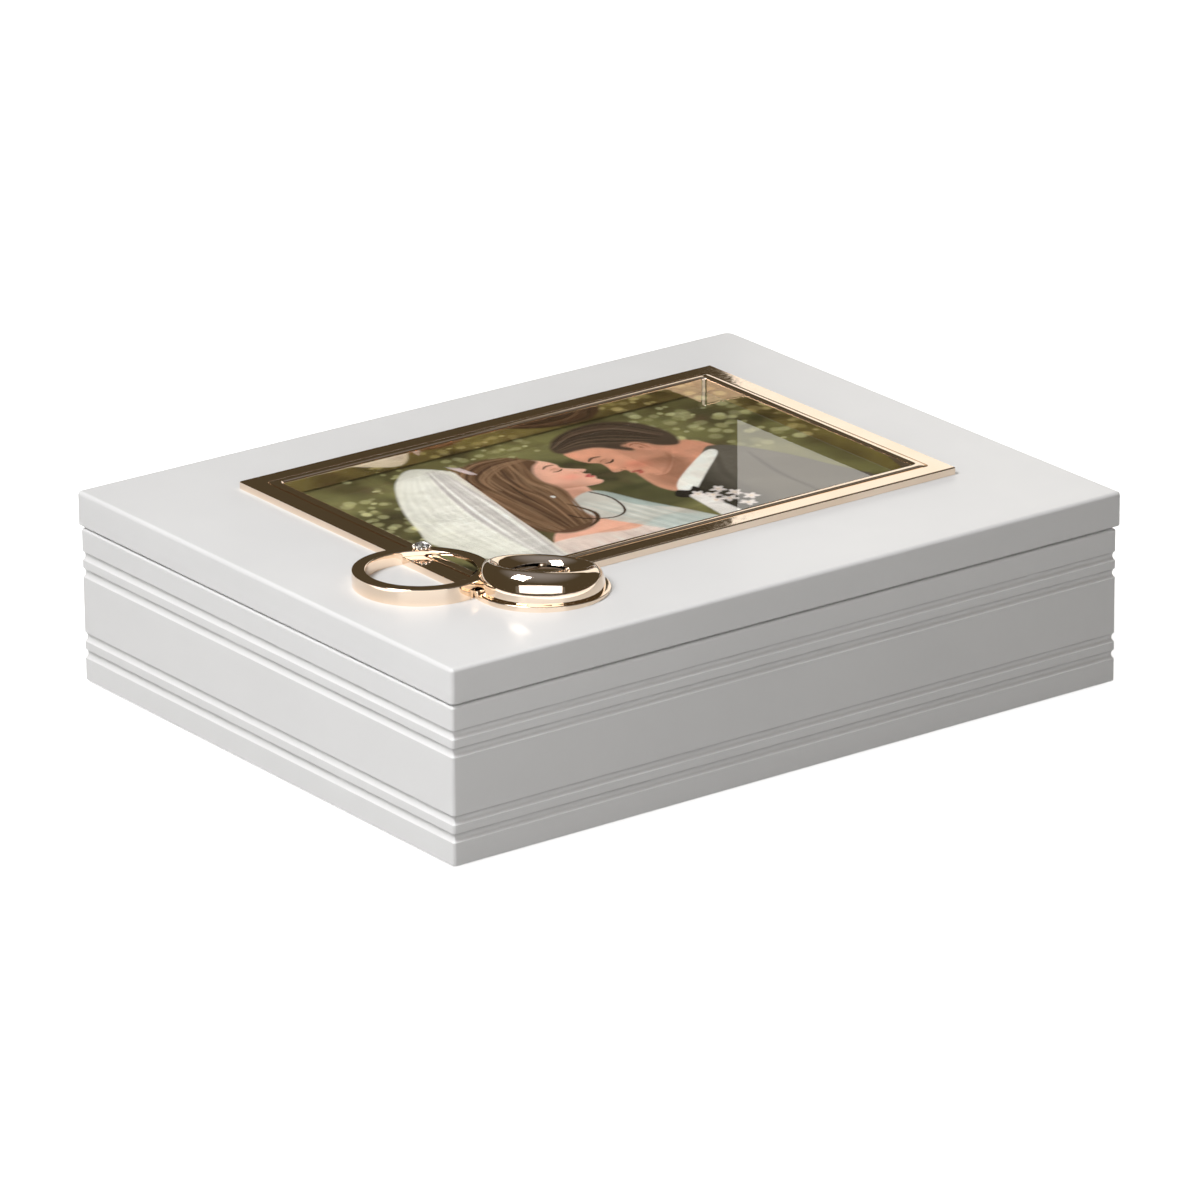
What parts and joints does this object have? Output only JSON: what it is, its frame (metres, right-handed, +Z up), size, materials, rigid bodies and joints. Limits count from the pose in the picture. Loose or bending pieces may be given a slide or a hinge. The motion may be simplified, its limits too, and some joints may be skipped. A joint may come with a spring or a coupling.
{
  "type": "wedding card box",
  "caption": "White keepsake box with grooved walls and a hinged lid; the lid holds a glazed photo frame with a polished metal bezel and linked rings cast over a corner of it.",
  "frame": {"origin": "on the floor, below the middle of the whole object, hinge barrels included", "axes": "+X along the width to the right, +Y from the front to the hinges, +Z up"},
  "size_m": [0.23, 0.1846, 0.0664],
  "materials": {
    "white_paint": "white satin-gloss paint on MDF",
    "rose_gold_plate": "polished pale rose gold plate",
    "window_glass": "clear and flat",
    "photo_paper": "glossy printed paper",
    "grey_card": "grey board",
    "velvet": "ivory velvet over card",
    "felt": "grey felt",
    "hardboard": "bare brown hardboard",
    "hinge_brass": "satin brass",
    "silver_plate": "bright silver plate",
    "crystal": "cut and polished crystal",
    "clear_rubber": "soft clear rubber"
  },
  "bodies": {
    "base": {"front_wall": "white_paint", "back_wall": "white_paint", "left_wall": "white_paint", "right_wall": "white_paint", "bottom_panel": "hardboard", "underside_felt": "felt", "floor_pad": "velvet", "front_lining": "velvet", "back_lining": "velvet", "left_lining": "velvet", "right_lining": "velvet", "lid_bumpers": "clear_rubber", "hinge_base_leaf_left": "hinge_brass", "hinge_base_leaf_right": "hinge_brass", "hinge_base_screws": "hinge_brass"},
    "lid": {"lid_panel": "white_paint", "bezel": "rose_gold_plate", "glass_pane": "window_glass", "photo_print": "photo_paper", "spacer_card": "grey_card", "backing_board": "velvet", "ring_flat": "rose_gold_plate", "ring_domed": "rose_gold_plate", "crystal_setting": "silver_plate", "crystal": "crystal", "hinge_lid_leaf_left": "hinge_brass", "hinge_lid_leaf_right": "hinge_brass", "hinge_pin_left": "hinge_brass", "hinge_pin_right": "hinge_brass", "hinge_lid_screws": "hinge_brass", "turn_button_screws": "hinge_brass"},
    "turn_button_front": {"turn_button_front": "hinge_brass"},
    "turn_button_right": {"turn_button_right": "hinge_brass"},
    "turn_button_back": {"turn_button_back": "hinge_brass"},
    "turn_button_left": {"turn_button_left": "hinge_brass"}
  },
  "joints": [
    {"name": "lid_hinge", "type": "hinge", "parent": "base", "child": "lid", "pos_m": [0, 0.08953, 0.04635], "axis": [-1, 0, 0], "range_deg": [0, 100]},
    {"name": "button_front_turn", "type": "hinge", "parent": "lid", "child": "turn_button_front", "pos_m": [0.00465, -0.05182, 0.046], "axis": [0, 0, -1], "continuous": true},
    {"name": "button_right_turn", "type": "hinge", "parent": "lid", "child": "turn_button_right", "pos_m": [0.08555, 0.00408, 0.046], "axis": [0, 0, -1], "continuous": true},
    {"name": "button_back_turn", "type": "hinge", "parent": "lid", "child": "turn_button_back", "pos_m": [0.00465, 0.05998, 0.046], "axis": [0, 0, -1], "continuous": true},
    {"name": "button_left_turn", "type": "hinge", "parent": "lid", "child": "turn_button_left", "pos_m": [-0.07625, 0.00408, 0.046], "axis": [0, 0, -1], "continuous": true}
  ]
}
